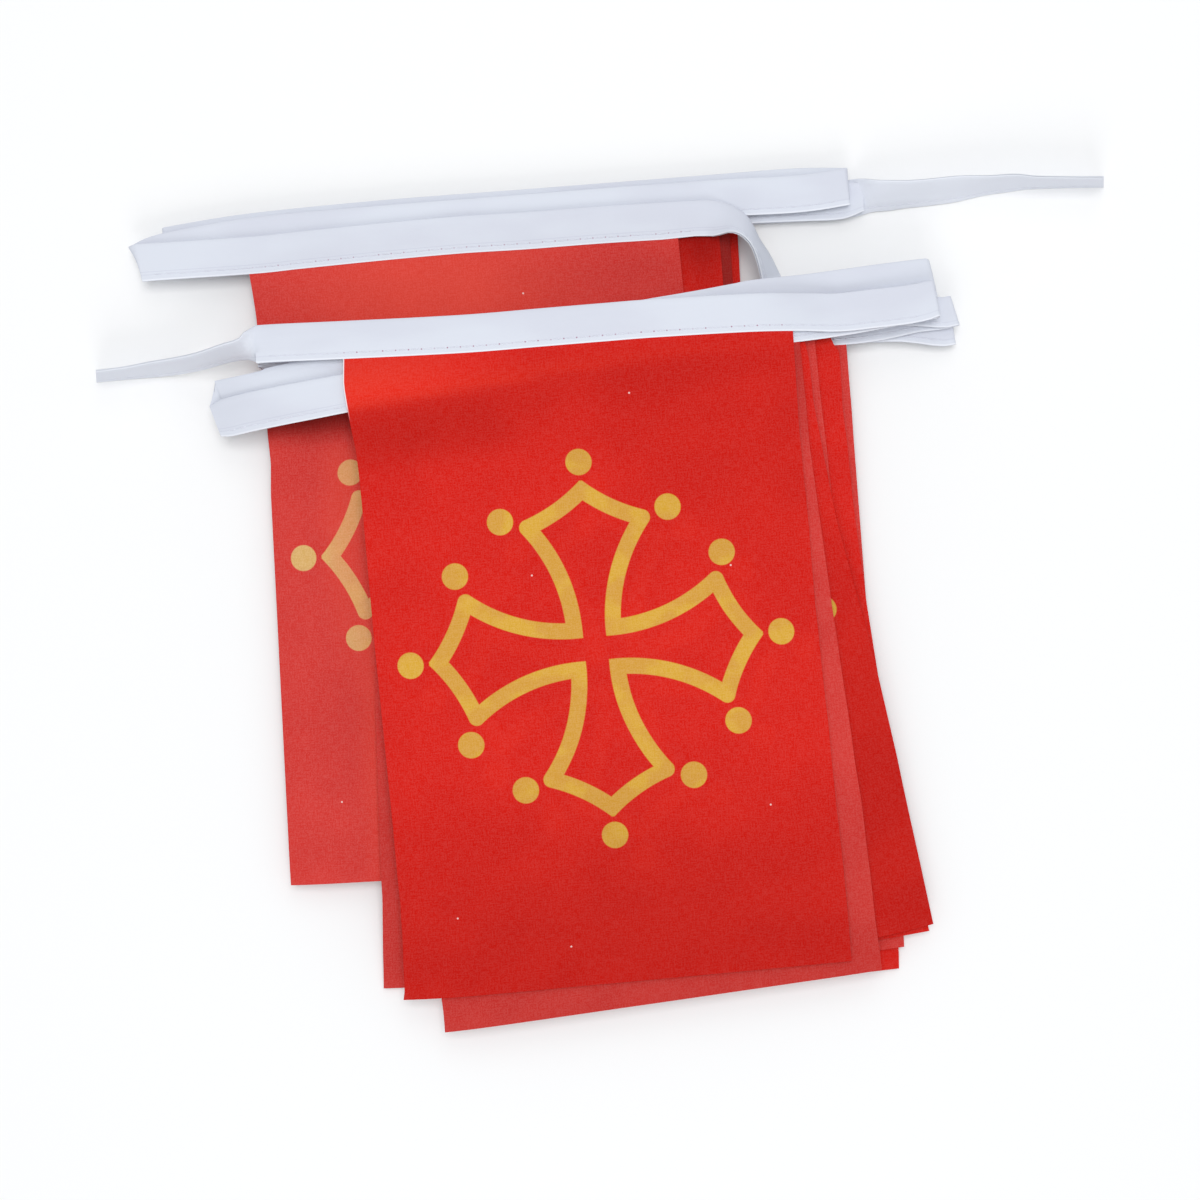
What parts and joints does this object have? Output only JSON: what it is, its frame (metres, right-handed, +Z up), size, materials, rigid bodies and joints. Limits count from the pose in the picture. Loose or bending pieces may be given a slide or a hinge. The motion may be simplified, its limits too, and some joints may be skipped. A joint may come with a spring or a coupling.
{
  "type": "folded string of flag bunting",
  "caption": "String of rectangular cloth flags with a printed cross, sewn into a folded white tape with ties, put away in two fanned stacks.",
  "frame": {"origin": "centre of the bounding box in plan, on the surface that the stacks lie on", "axes": "+X along the tape to the right, +Y from the flags' lower edges to the tape, +Z up"},
  "size_m": [0.3266, 0.2774, 0.0235],
  "materials": {
    "tape_cloth": "matt woven polyester",
    "flag_cloth": "matt printed woven polyester, with the cross in gold and a paler back"
  },
  "bodies": {
    "root": {"tape": "tape_cloth", "flag_01": "flag_cloth", "flag_02": "flag_cloth", "flag_03": "flag_cloth", "flag_04": "flag_cloth", "flag_05": "flag_cloth", "flag_06": "flag_cloth", "flag_07": "flag_cloth", "flag_08": "flag_cloth", "flag_09": "flag_cloth", "flag_10": "flag_cloth", "flag_11": "flag_cloth", "flag_12": "flag_cloth", "flag_13": "flag_cloth", "flag_14": "flag_cloth", "flag_15": "flag_cloth"}
  },
  "joints": []
}
